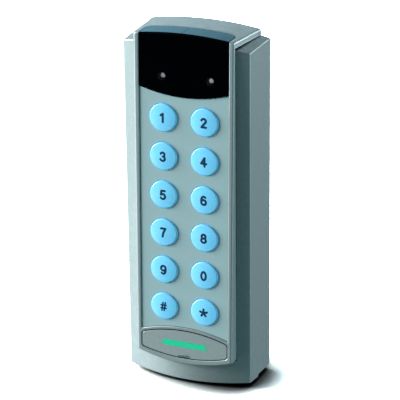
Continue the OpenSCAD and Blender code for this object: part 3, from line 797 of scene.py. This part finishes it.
def housing_solid(name, inset, underside, back_y):
    """The bowed, drafted housing shape; underside lists (y, height of the arc at x = 0) pairs."""
    def half_at(y):
        return HOUSING_HALF_W - inset + y * SIDE_LEAN

    corner = half_at(-20)
    for _ in range(5):
        corner = half_at(bow_y(corner, inset))
    rings = []
    for u in samples(-1, 1, 57):
        front = Vector((u * corner, bow_y(u * corner, inset)))
        back = Vector((u * half_at(back_y), back_y))
        ring = [Vector((p.x, p.y, housing_top_at(p.x, p.y, inset))) for p in (front, back)]
        for y, lowest in underside(front.y):
            x = front.x if y == front.y else u * half_at(y)
            ring.append(Vector((x, y, arc_down(x, lowest, BOTTOM_R))))
        rings.append(ring)
    return loft(name, rings)


def stepped_underside(y_front):
    """The outside's underside from back to front: it falls towards the wall, with one step."""
    def front_part(y):
        return BOTTOM_FRONT_Z - (y + NOSE_DEPTH) * FRONT_FALL

    def rear_part(y):
        return BOTTOM_REAR_Z - (y + NOSE_DEPTH) * REAR_FALL

    step = [(STEP_Y, rear_part(STEP_Y)), (STEP_Y, front_part(STEP_Y))]
    return [(PAST_WALL, rear_part(PAST_WALL))] + step + [(y_front, front_part(y_front))]


def inner_underside(y_front):
    level = BOTTOM_FRONT_Z + WALL + 0.5
    return [(PAST_WALL, level), (y_front, level)]


def cover_half_at(y, grow=0.0):
    """Half the cover's width at that depth from the wall."""
    return COVER_HALF_W + grow + y * COVER_LEAN


def cover_ring(depth, grow, top_z):
    """The cover's outline at one depth behind the face, in the row frame."""
    ring = []
    for u in samples(-1, 1, 49):
        height = COVER_BOTTOM
        for _ in range(3):
            x = u * cover_half_at(on_face(0, depth, height).y, grow)
            height = arc_down(x, COVER_BOTTOM - grow, COVER_BOTTOM_R + grow)
        ring.append(on_face(x, depth, height))
    for u in samples(1, -1, 49):
        y = on_face(0, depth, top_z).y
        x = u * cover_half_at(y, grow)
        height = height_at(arc_up(x, top_z + grow, ARCH_R), depth)
        ring.append(on_face(x, depth, height))
    return ring


def build_housing():
    outer = housing_solid("housing_shell", 0.0, stepped_underside, PAST_WALL)
    round_edges(outer, 1.2, 5, 30)
    hollow = housing_solid("hollow", WALL, inner_underside, PAST_WALL)
    tray = loft("tray", [cover_ring(d, SKIRT_T, HOUSING_HIGH.z + 1) for d in (-4.0, SEAT_DEPTH + 1.6)])
    cut(hollow, tray)
    pocket = loft("pocket", [cover_ring(d, SEAT_GAP, COVER_TOP) for d in (-4.0, SEAT_DEPTH)])
    outline = between_arcs(
        OPENING_HALF_W,
        lambda x: arc_up(x, OPENING_TOP, ARCH_R),
        lambda x: arc_down(x, OPENING_BOTTOM, COVER_BOTTOM_R),
    )
    through = plate("opening", outline, SEAT_DEPTH - 2.4, SEAT_DEPTH + 6.6)
    slot_half_w = LIP_HALF_W + LIP_SLOT_GAP
    slot = brick("slot", Vector((-slot_half_w, -5.0, 68.4)), Vector((slot_half_w, -2.8, 80)))
    cut(outer, hollow, pocket, through, slot, beyond_wall())
    weld(outer)
    round_edges(outer, 0.18, 2, 40)
    return finish_piece(outer, "reader", "shell", "housing")


# ---- Front cover -----------------------------------------------------------


def window_solid(name, grow, front, lift, edge_r=0.0):
    """The window: a flat front that turns over the top; lift raises its outer surfaces."""
    half_w = INLAY_HALF_W + grow
    corner_r = WRAP_CORNER_R
    straight = half_w - corner_r
    xs = samples(-half_w, -straight, 12) + samples(-straight, straight, 33)[1:-1]
    xs += samples(straight, half_w, 12)
    edge = angles(0, 90, 5) if edge_r else [0.0]
    rings = []
    for x in xs:
        past = max(0.0, abs(x) - straight)
        corner = corner_r - math.sqrt(max(0.0, corner_r * corner_r - past * past))
        back_y = WINDOW_BACK_Y + grow - corner
        bottom = arc_down(x, WINDOW_BOTTOM - grow, WINDOW_BOTTOM_R)
        top_z = arc_up(x, COVER_TOP + lift, ARCH_R)
        under_z = arc_up(x, COVER_TOP - WINDOW_TOP_T - grow, ARCH_R)
        behind = WINDOW_T + grow
        ring = [on_face(x, front, bottom)]
        for t in edge:
            height = height_at(top_z, front) - edge_r * (1 - math.sin(t))
            ring.append(on_face(x, front + edge_r * (1 - math.cos(t)), height))
        ring += [Vector((x, back_y, top_z)), Vector((x, back_y, under_z))]
        ring += [on_face(x, behind, height_at(under_z, behind)), on_face(x, behind, bottom)]
        rings.append(ring)
    return loft(name, rings)


def window_outline(grow):
    """The window's outline on the face, carried up past the cover's top."""
    return between_arcs(
        INLAY_HALF_W + WINDOW_GAP + grow,
        lambda x: COVER_TOP + 4,
        lambda x: arc_down(x, WINDOW_BOTTOM - WINDOW_GAP - grow, WINDOW_BOTTOM_R),
    )


def wrap_outline(grow):
    """The window's outline on the cover's top seen from above, carried out past the face."""
    half_w = INLAY_HALF_W + WINDOW_GAP + grow
    back_y = WINDOW_BACK_Y + WINDOW_GAP + grow
    radius = WRAP_CORNER_R + WINDOW_GAP + grow
    corner = []
    for t in angles(0, 90, 10):
        x = half_w - radius * (1 - math.cos(t))
        corner.append(Vector((x, back_y - radius * (1 - math.sin(t)))))
    back = [Vector((x, back_y)) for x in samples(half_w - radius, radius - half_w, 33)[1:-1]]
    front = [Vector((x, -FACE_DEPTH - 5)) for x in samples(-half_w, half_w, 41)]
    return corner + back + [Vector((-p.x, p.y)) for p in reversed(corner)] + front


def wrap_mouth(radius):
    """A tool that rounds the edge of the window's opening in the cover's top."""
    rings = []
    for drop, grow in rounded_mouth(radius):
        crown = COVER_TOP - drop
        rings.append([Vector((p.x, p.y, arc_up(p.x, crown, ARCH_R))) for p in wrap_outline(grow)])
    return loft("wrap_mouth", rings)


def light_outline(inset):
    """Outline of the clear opening behind the window."""
    half_w = INLAY_HALF_W - inset
    top = COVER_TOP - TOP_PLATE_T - inset
    return between_arcs(
        half_w,
        lambda x: height_at(arc_up(x, top, ARCH_R), PLATE_T),
        lambda x: arc_down(x, WINDOW_BOTTOM + inset, WINDOW_BOTTOM_R),
    )


def panel_outline(grow):
    """Outline of the keypad panel, whose ends follow the window and the flap."""
    bottom_r = FLAP_TOP_R + PANEL_BOTTOM - FLAP_TOP
    return between_arcs(
        INLAY_HALF_W + grow,
        lambda x: arc_down(x, WINDOW_BOTTOM + grow, WINDOW_BOTTOM_R),
        lambda x: arc_up(x, PANEL_BOTTOM - grow, bottom_r),
    )


def panel_seat_outline(grow):
    """Outline of the panel's seat."""
    return panel_outline(0.12 + grow)


def flap_outline(grow):
    """Outline of the service flap."""
    return between_arcs(
        FLAP_HALF_W + grow,
        lambda x: arc_up(x, FLAP_TOP + grow, FLAP_TOP_R),
        lambda x: arc_down(x, FLAP_BOTTOM - grow, FLAP_BOTTOM_R),
    )


def flap_seat_outline(grow):
    """Outline of the flap's seat, with rounded corners."""
    return soften(flap_outline(FLAP_GAP + grow), 1.3 + grow)


def behind_skirt():
    """Everything behind the cover's skirt and under its top plate, as a cutting tool."""
    rings = []
    for x in samples(-HOUSING_HALF_W, HOUSING_HALF_W, 49):
        under = arc_up(x, COVER_TOP - TOP_PLATE_T, ARCH_R - TOP_PLATE_T)
        ring = [on_face(x, SKIRT_END, -80.0), Vector((x, 2 * PAST_WALL, -80.0))]
        ring += [Vector((x, 2 * PAST_WALL, under)), on_face(x, SKIRT_END, height_at(under, SKIRT_END))]
        rings.append(ring)
    return loft("behind_skirt", rings)


def shadow_gap(side):
    """The gap between the cover's top plate and the housing's top, at one side."""
    inner_x = cover_half_at(-FACE_DEPTH) - 1.0
    front = bow_y(inner_x)
    rings = []
    for x in samples(inner_x, HOUSING_HALF_W, 9):
        over = arc_up(x, COVER_TOP - TOP_PLATE_T, ARCH_R - TOP_PLATE_T)
        ring = [(front, housing_top_at(x, front)), (0.0, housing_top_at(x, 0.0))]
        ring += [(0.0, over), (front, over)]
        rings.append([Vector((side * x, y, z)) for y, z in ring])
    return loft("shadow_gap", rings)


def build_cover():
    cover = loft("cover_form", [cover_ring(d, 0.0, COVER_TOP) for d in (0.0, FACE_DEPTH + PAST_WALL)])
    round_edges(cover, 0.8, 5, 50)
    inner = between_arcs(
        cover_half_at(-FACE_DEPTH) - SKIRT_T,
        lambda x: height_at(arc_up(x, COVER_TOP - 4.5, ARCH_R), PLATE_T),
        lambda x: arc_down(x, COVER_BOTTOM + SKIRT_T, COVER_BOTTOM_R - SKIRT_T),
    )
    tools = [
        plate("inner", inner, PLATE_T, SKIRT_END + 1),
        beyond_wall(),
        behind_skirt(),
        shadow_gap(-1),
        shadow_gap(1),
        window_solid("window_seat", WINDOW_GAP, -1.0, 1.0),
        opening("window_mouth", window_outline, 0.5, EDGE_R),
        wrap_mouth(EDGE_R),
        plate("light", light_outline(1.2), 0.0, PLATE_T + 1),
        opening("panel_seat", panel_seat_outline, PANEL_DEPTH + PANEL_T + 0.05, 0.4),
        plate("panel_light", panel_outline(-1.5), 0.0, PLATE_T + 1),
        opening("flap_seat", flap_seat_outline, FLAP_FLOOR, 0.3),
        *[disc("lug_hole", x, SCREW_HEIGHT, LUG_HOLE_R, 0.5, PLATE_T + 1) for x in (-LUG_X, LUG_X)],
    ]
    cut(cover, *tools)
    slot_bottom = FLAP_BOTTOM - FLAP_GAP - PRY_UNDERCUT
    slot = between_arcs(NOTCH_W / 2, lambda x: FLAP_BOTTOM + NOTCH_H, lambda x: slot_bottom, 2)
    cut(cover, plate("pry_slot", slot, FLAP_FLOOR - 0.05, PLATE_T + 1))
    sleeve = disc("sleeve", 0, SCREW_HEIGHT, SLEEVE_R, PLATE_T - 0.5, SLEEVE_END)
    lip = brick("lip", Vector((-LIP_HALF_W, -4.6, 69.2)), Vector((LIP_HALF_W, -3.2, COVER_TOP - 1.5)))
    join(cover, sleeve, lip)
    for x, height in POST_SPOTS:
        join(cover, disc("post", x, height, POST_R, PLATE_T - 0.8, PLATE_T + 1.8))
    cut(cover, disc("head_bore", 0, SCREW_HEIGHT, HEAD_BORE_R, 0.5, HEAD_BORE_END))
    cut(cover, disc("shank_bore", 0, SCREW_HEIGHT, SHANK_BORE_R, HEAD_BORE_END - 0.6, SLEEVE_END + 1.1))
    return finish_piece(cover, "reader", "shell", "front_cover")


def build_window():
    window = window_solid("window_lens", 0.0, 0.05, -0.05, 0.3)
    low = Vector((SEAM_X, WINDOW_LOW.y, COVER_TOP - SEAM_DEPTH))
    high = Vector((SEAM_X + SEAM_W, WINDOW_BACK_Y, COVER_TOP + 1))
    seam = brick("seam", low - Vector((0, 3, 0)), high + Vector((0, 3, 0)))
    cut(window, seam)
    weld(window)
    return finish_piece(window, "reader", "smoked_window", "reader_window")


# ---- Keypad ----------------------------------------------------------------


def key_centre(label):
    """Middle of a key's box."""
    low, high = box_mm(f"key_{label}")
    return (low + high) / 2


def build_panel():
    panel = plate("keypad_inlay", panel_outline(0.0), PANEL_DEPTH, PANEL_DEPTH + PANEL_T)
    for label in KEY_LABELS:
        centre = to_face(key_centre(label))
        cut(panel, disc("hole", centre.x, centre.z, KEY_R + 0.25, -1.0, 4.0, 64))
    round_edges(weld(panel), 0.15, 2, 40)
    return finish_piece(panel, "reader", "panel", "keypad_panel")


def crown_depth(radius):
    """Depth of the key's domed face at that distance from its middle."""
    dome_r = (KEY_R * KEY_R + KEY_CROWN * KEY_CROWN) / (2 * KEY_CROWN)
    return LEGEND_PROUD - KEY_PROUD + dome_r - math.sqrt(dome_r * dome_r - radius * radius)


def key_profile():
    """Half section of a key: domed face, rounded rim, flange behind the panel, and nub."""
    profile = [(0.0, crown_depth(0.0))]
    dome_end = KEY_R - KEY_RIM
    for radius in samples(0.6, dome_end, 10):
        profile.append((radius, crown_depth(radius)))
    edge = crown_depth(dome_end)
    for turn in angles(15, 90, 6):
        profile.append((dome_end + KEY_RIM * math.sin(turn), edge + KEY_RIM * (1 - math.cos(turn))))
    profile += [(KEY_R, FLANGE_FRONT - 0.01), (KEY_FLANGE_R - 0.1, FLANGE_FRONT)]
    profile += [(KEY_FLANGE_R, FLANGE_FRONT + 0.1), (KEY_FLANGE_R, FLANGE_BACK - 0.08)]
    profile += [(KEY_FLANGE_R - 0.08, FLANGE_BACK), (NUB_R, FLANGE_BACK)]
    profile += [(NUB_R, NUB_BACK - 0.05), (NUB_R - 0.1, NUB_BACK), (0.0, NUB_BACK)]
    return profile


def bow(x, z, radius_x, radius_z, start, end):
    """Points along part of an ellipse, from one angle to the other in degrees."""
    turns = angles(start, end, 2 + int(abs(end - start) / 15))
    return [(x + radius_x * math.cos(t), z + radius_z * math.sin(t)) for t in turns]


def six():
    """Strokes of a 6: its stem and its bowl."""
    return [bow(0.05, 0, 1.07, CHAR_HALF_H, 50, 195), bow(0, -0.72, 1.02, 1.05, 180, -180)]


def arms(count, length):
    """Strokes from the middle outwards."""
    turns = [math.radians(90 + 360 / count * i) for i in range(count)]
    return [[(0, 0), (length * math.cos(t), length * math.sin(t))] for t in turns]


def glyph_strokes(label):
    """The centre lines that draw a character, as lists of (x, z) points round its middle."""
    top = CHAR_HALF_H
    strokes = {
        "0": [bow(0, 0, 1.0, top, 180, -180)],
        "1": [[(-0.7, 1.1), (0.2, top)], [(0.2, top), (0.2, -top)]],
        "2": [bow(0, 0.85, 0.98, 0.92, 165, -30) + [(-0.95, -top)], [(-0.95, -top), (1.0, -top)]],
        "3": [bow(0, 0.92, 0.85, 0.85, 160, -80), bow(0, -0.82, 1.0, 0.95, 80, -160)],
        "4": [[(0.4, -top), (0.4, top)], [(0.4, top), (-1.05, -0.65)], [(-1.05, -0.65), (1.1, -0.65)]],
        "5": [
            [(0.85, top), (-0.65, top)],
            [(-0.65, top), (-0.85, 0.1)],
            bow(-0.05, -0.67, 1.05, 1.1, 140, -150),
        ],
        "6": six(),
        "7": [[(-0.95, top), (1.0, top)], [(1.0, top), (0.15, 0), (-0.25, -top)]],
        "8": [bow(0, 0.92, 0.85, 0.85, 180, -180), bow(0, -0.82, 1.02, 0.95, 180, -180)],
        "9": [[(-x, -z) for x, z in stroke] for stroke in six()],
        "star": arms(5, 1.6),
    }
    slant = 0.28
    bars = [[(x - slant, -top), (x + slant, top)] for x in (-0.52, 0.52)]
    strokes["hash"] = bars + [[(-1.15, z), (1.15, z)] for z in (-0.65, 0.65)]
    return strokes[label]


def ink_stroke(name, path, half_w):
    """A round-ended bar of ink along a flat path; y runs from 0 at its back to 1 at its front."""
    points = [Vector(p) for p in path]
    closed = (points[0] - points[-1]).length < 0.001
    if closed:
        points.pop()
    last = len(points) - 1
    rings = []
    for i, point in enumerate(points):
        before = points[i - 1] if i or closed else point
        after = points[(i + 1) % len(points)] if i < last or closed else point
        rings.append((point, (after - before).normalized(), half_w))
    if not closed:
        turns = [math.radians(a) for a in (85, 60, 30)]
        ends = [(math.sin(t) * half_w, math.cos(t) * half_w) for t in turns]
        start, finish = rings[0], rings[-1]
        head = [(start[0] - start[1] * out, start[1], width) for out, width in ends]
        tail = [(finish[0] + finish[1] * out, finish[1], width) for out, width in reversed(ends)]
        rings = head + rings + tail
    section = ((-1, 0), (-1, 0.85), (-0.75, 1), (0.75, 1), (1, 0.85), (1, 0))
    sweep = []
    for point, along, width in rings:
        across = Vector((-along.y, along.x)) * width
        spots = [(point + across * side, raised) for side, raised in section]
        sweep.append([Vector((p.x, raised, p.y)) for p, raised in spots])
    return loft(name, sweep, closed)


def refine(obj, length):
    """Splits the edges that are longer than length until none is left."""
    with editing(obj) as bm:
        bmesh.ops.triangulate(bm, faces=bm.faces)
        for _ in range(5):
            long_edges = [e for e in bm.edges if e.calc_length() > length * MM]
            if not long_edges:
                break
            bmesh.ops.subdivide_edges(bm, edges=long_edges, cuts=1)
            bmesh.ops.triangulate(bm, faces=bm.faces)
    return obj


def build_legend(label):
    """A legend printed on a key's dome, following its curve."""
    half_w = HASH_HALF_W if label == "hash" else STROKE_HALF_W
    strokes = [ink_stroke(f"legend_{label}", path, half_w) for path in glyph_strokes(label)]
    legend = strokes[0]
    join(legend, *strokes[1:])
    refine(weld(legend), 0.5)
    middle = to_face(key_centre(label))
    for vertex in legend.data.vertices:
        across, raised, up = vertex.co / MM
        depth = crown_depth(math.hypot(across, up)) + LEGEND_SINK
        depth -= raised * (LEGEND_SINK + LEGEND_PROUD)
        vertex.co = on_face(middle.x + across, depth, middle.z + up) * MM
    heal(legend)
    return finish_piece(legend, f"key_{label}", "key_plastic", finish="legend")


def build_keys():
    for label in KEY_LABELS:
        name = f"key_{label}"
        key = lathe(f"cap_{label}", key_profile(), key_centre(label))
        finish_piece(key, name, "key_plastic", name)
        build_legend(label)


# ---- Service flap ----------------------------------------------------------


def build_flap():
    below_face = 0.05
    flap = plate("flap_plate", notched(soften(flap_outline(0.0), 1.1)), below_face, below_face + FLAP_T)
    round_edges(weld(flap), 0.35, 3, 40)
    for x in (-LUG_X, LUG_X):
        join(flap, disc("lug", x, SCREW_HEIGHT, LUG_R, FLAP_T - 0.3, PLATE_T + 0.8))
    cut(flap, plate("recess", pill(BADGE_W + 0.1, BADGE_H + 0.1), -1.0, 0.2))
    finish_piece(flap, "flap", "flap_shell", "service_flap")
    badge = plate("flap_bar", pill(BADGE_W, BADGE_H), 0.03, 0.19)
    finish_piece(badge, "flap", "badge_green", "flap_badge")


def pill(width, height):
    """A bar with round ends, in the middle of the flap."""
    radius = height / 2
    points = []
    for side in (1, -1):
        for turn in angles(-90, 90, 13):
            x = side * (width / 2 - radius + radius * math.cos(turn))
            points.append(Vector((x, SCREW_HEIGHT + side * radius * math.sin(turn))))
    return points


# ---- CAD nodes that stay ---------------------------------------------------


def dress_cad_nodes():
    """Gives every CAD node the material of its slot."""
    slots = {s["node"]: s["material_slot"] for s in frame["record"]["subparts"]}
    for name, obj in frame["nodes"].items():
        obj.data.materials.clear()
        obj.data.materials.append(materials[slots[name]])
        for face in obj.data.polygons:
            face.material_index = 0


# ---- Stage, light and camera -----------------------------------------------


# The paper floor is overexposed, so its colour lies above white
FLOOR_BURN = (5.6, 6.0, 6.05)
# The painted contact shadow grows deeper from the left to the right, away from the key light
CONTACT_REACH = 16.0
CONTACT_DEPTH = 7.0
FLOOR_HALF_W = 4000.0


def build_stage():
    """A wide pale floor under the object, with a painted contact shadow; it takes shadows but throws no light
    back.
    """
    level = cad_box[0].z / MM
    corners = ((-1, -1), (1, -1), (1, 1), (-1, 1))
    ring = [Vector((x * FLOOR_HALF_W, y * FLOOR_HALF_W, level)) for x, y in corners]
    floor = make_object("floor", ring, [(0, 1, 2, 3)])
    for ray in ("diffuse", "glossy", "transmission", "shadow"):
        setattr(floor, f"visible_{ray}", False)
    shader = Shader("floor_paper", roughness=0.9, specular_ior_level=0.0)
    # Painted contact shadow: the floor is painted dark where ambient occlusion finds the object close
    contact = shader.add("ShaderNodeAmbientOcclusion")
    contact.inputs["Distance"].default_value = CONTACT_REACH * MM
    across = shader.add("ShaderNodeSeparateXYZ", shader.place()).outputs[0]
    depth = shader.ramp(across, -HOUSING_HALF_W, HOUSING_HALF_W, 0.8, CONTACT_DEPTH)
    openness = shader.math("POWER", contact.outputs["AO"], depth)
    shader.paint(openness, (0.0, 0.0, 0.0), FLOOR_BURN)
    floor.data.materials.append(shader.material)


# Softboxes round the object, as (name, azimuth, elevation, distance, size, power, tint)
SOFTBOXES = [
    ("key_softbox", -75, 15, 2.0, 1.1, 125.0, (1.0, 1.0, 0.98)),
    ("low_softbox", -52, -30, 1.1, 0.6, 2.7, (0.97, 1.0, 1.0)),
    ("strip_softbox", 67, 3, 1.3, 0.3, 3.6, (0.4, 0.92, 1.0)),
    ("right_softbox", 97, 12, 0.9, 0.4, 3.6, (1.0, 1.0, 1.02)),
    ("rear_right_softbox", 128, 20, 0.7, 0.4, 2.7, (0.95, 1.0, 1.02)),
    ("rear_softbox", -155, 20, 1.3, 0.7, 1.6, (0.75, 1.0, 1.1)),
    ("front_fill", 40, -35, 1.3, 0.7, 0.6, (0.4, 0.92, 1.0)),
]


def outwards(azimuth, elevation):
    """Direction away from the object; azimuth is counted from the front, positive to the right."""
    turn, rise = math.radians(azimuth), math.radians(elevation)
    return Vector((math.sin(turn) * math.cos(rise), -math.cos(turn) * math.cos(rise), math.sin(rise)))


def area_light(name, azimuth, elevation, distance, size, power, tint):
    """A square softbox that looks at the origin."""
    light = bpy.data.lights.new(name, "AREA")
    light.size = size
    light.energy = power
    light.color = tint
    obj = bpy.data.objects.new(name, light)
    bpy.context.scene.collection.objects.link(obj)
    back = outwards(azimuth, elevation)
    obj.location = back * distance
    obj.rotation_euler = (-back).to_track_quat("-Z", "Y").to_euler()


def build_lights():
    for softbox in SOFTBOXES:
        area_light(*softbox)


def build_world():
    """A faint cool fill light; past the floor's far edge the camera sees plain white paper."""
    world = bpy.data.worlds.new("studio")
    world.use_nodes = True
    nodes, links = world.node_tree.nodes, world.node_tree.links
    fill = nodes["Background"]
    fill.inputs["Color"].default_value = (0.6, 0.95, 1.0, 1.0)
    fill.inputs["Strength"].default_value = 0.02
    paper = nodes.new("ShaderNodeBackground")
    paper.inputs["Color"].default_value = (1.0, 1.0, 1.0, 1.0)
    seen = nodes.new("ShaderNodeLightPath")
    choice = nodes.new("ShaderNodeMixShader")
    links.new(seen.outputs["Is Camera Ray"], choice.inputs[0])
    links.new(fill.outputs[0], choice.inputs[1])
    links.new(paper.outputs[0], choice.inputs[2])
    links.new(choice.outputs[0], nodes["World Output"].inputs["Surface"])
    bpy.context.scene.world = world


# The camera's place as seen from the point it looks at; angles in degrees, the rest in millimetres
CAMERA_AZIMUTH = 22.8
CAMERA_ELEVATION = 21.61
CAMERA_ROLL = -0.63
CAMERA_DISTANCE = 813.0
CAMERA_AIM = Vector((7.28, -FACE_DEPTH, 8.19))
CAMERA_LENS = 180.4


def build_camera():
    """Looks from the front right and above."""
    back = outwards(CAMERA_AZIMUTH, CAMERA_ELEVATION)
    right = Vector((0, 0, 1)).cross(back).normalized()
    up = back.cross(right)
    roll = math.radians(CAMERA_ROLL)
    rolled_right = math.cos(roll) * right + math.sin(roll) * up
    rolled_up = math.cos(roll) * up - math.sin(roll) * right
    camera_data = bpy.data.cameras.new("camera")
    camera_data.lens = CAMERA_LENS
    camera = bpy.data.objects.new("camera", camera_data)
    bpy.context.scene.collection.objects.link(camera)
    turn = Matrix((rolled_right, rolled_up, back)).transposed().to_4x4()
    camera.matrix_world = Matrix.Translation((CAMERA_AIM + CAMERA_DISTANCE * back) * MM) @ turn
    bpy.context.scene.camera = camera


build_housing()
build_cover()
build_window()
build_panel()
build_keys()
build_flap()
dress_cad_nodes()
build_stage()
build_lights()
build_world()
build_camera()
bpy.context.scene.view_settings.view_transform = "Standard"
